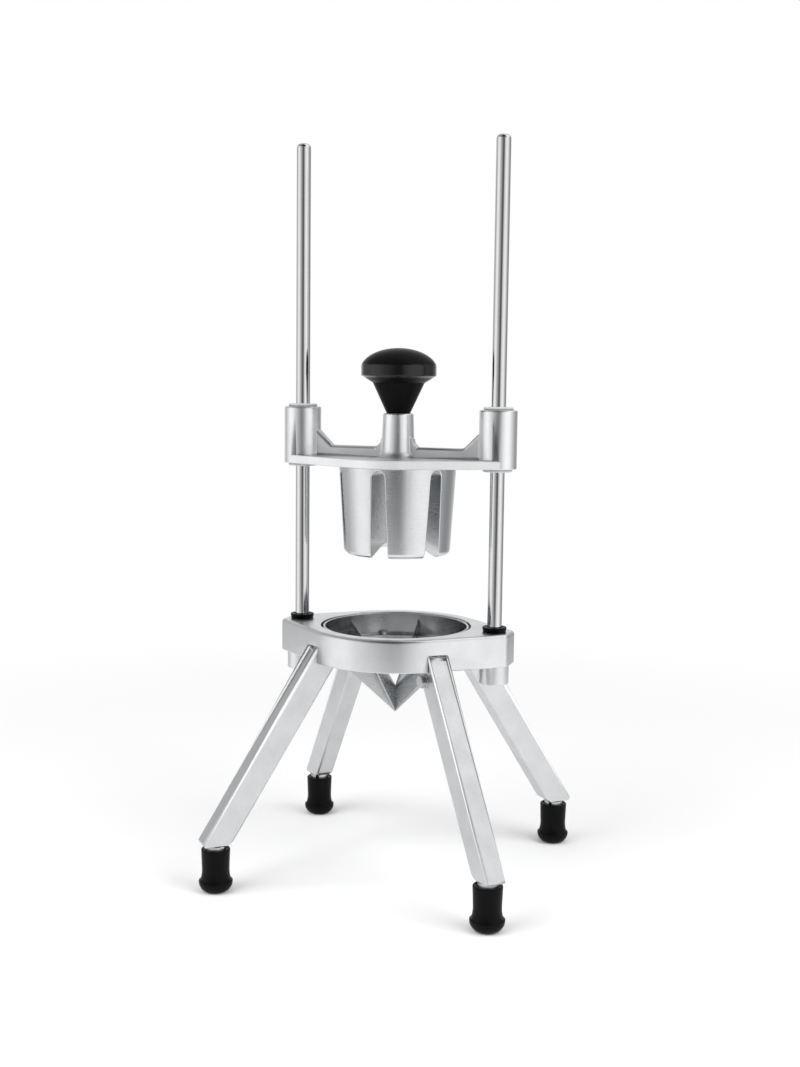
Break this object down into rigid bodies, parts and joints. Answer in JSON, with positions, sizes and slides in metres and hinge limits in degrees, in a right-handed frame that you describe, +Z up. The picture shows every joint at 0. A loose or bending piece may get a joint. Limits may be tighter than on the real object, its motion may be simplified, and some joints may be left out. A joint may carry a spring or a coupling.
{
  "type": "fruit wedger press",
  "caption": "Push-down fruit wedger: a cast head with a ball-like knob slides on guide rods and presses fruit through V-shaped radial blades in a legged stand.",
  "frame": {"origin": "on the worktop under the middle of the stand, midway between the two guide rods", "axes": "+X along the line of the rods to the right, +Y to the back, +Z up along the rods"},
  "size_m": [0.2158, 0.207, 0.5101],
  "materials": {
    "cast_aluminium": "tumbled and polished casting",
    "rod_steel": "ground and polished stainless bar",
    "blade_steel": "brushed stainless sheet",
    "black_rubber": "moulded, slightly glossy",
    "knob_plastic": "gloss moulding",
    "bushing_plastic": "turned, satin",
    "fastener_steel": "plain stainless",
    "brass": "turned"
  },
  "bodies": {
    "stand": {"base_casting": "cast_aluminium", "guide_rod_left": "rod_steel", "guide_rod_right": "rod_steel", "rod_bumper_left": "black_rubber", "rod_bumper_right": "black_rubber", "rod_screws": "fastener_steel", "rod_washers": "fastener_steel", "blade_ring": "blade_steel", "blade_plate_a": "blade_steel", "blade_plate_b": "blade_steel", "blade_plate_c": "blade_steel", "blade_ring_screws": "fastener_steel", "leg_front_left": "cast_aluminium", "leg_front_right": "cast_aluminium", "leg_back_left": "cast_aluminium", "leg_back_right": "cast_aluminium", "foot_front_left": "black_rubber", "foot_front_right": "black_rubber", "foot_back_left": "black_rubber", "foot_back_right": "black_rubber", "leg_bolts": "fastener_steel", "leg_washers": "fastener_steel"},
    "head": {"pusher_casting": "cast_aluminium", "push_block": "cast_aluminium", "push_block_screws": "fastener_steel", "bushing_left_top": "bushing_plastic", "bushing_left_bottom": "bushing_plastic", "bushing_right_top": "bushing_plastic", "bushing_right_bottom": "bushing_plastic", "knob": "knob_plastic", "knob_insert": "brass", "knob_stud": "fastener_steel"}
  },
  "joints": [
    {"name": "head_slide", "type": "slide", "parent": "stand", "child": "head", "axis": [0, 0, 1], "range_m": [-0.1065, 0.17]}
  ]
}
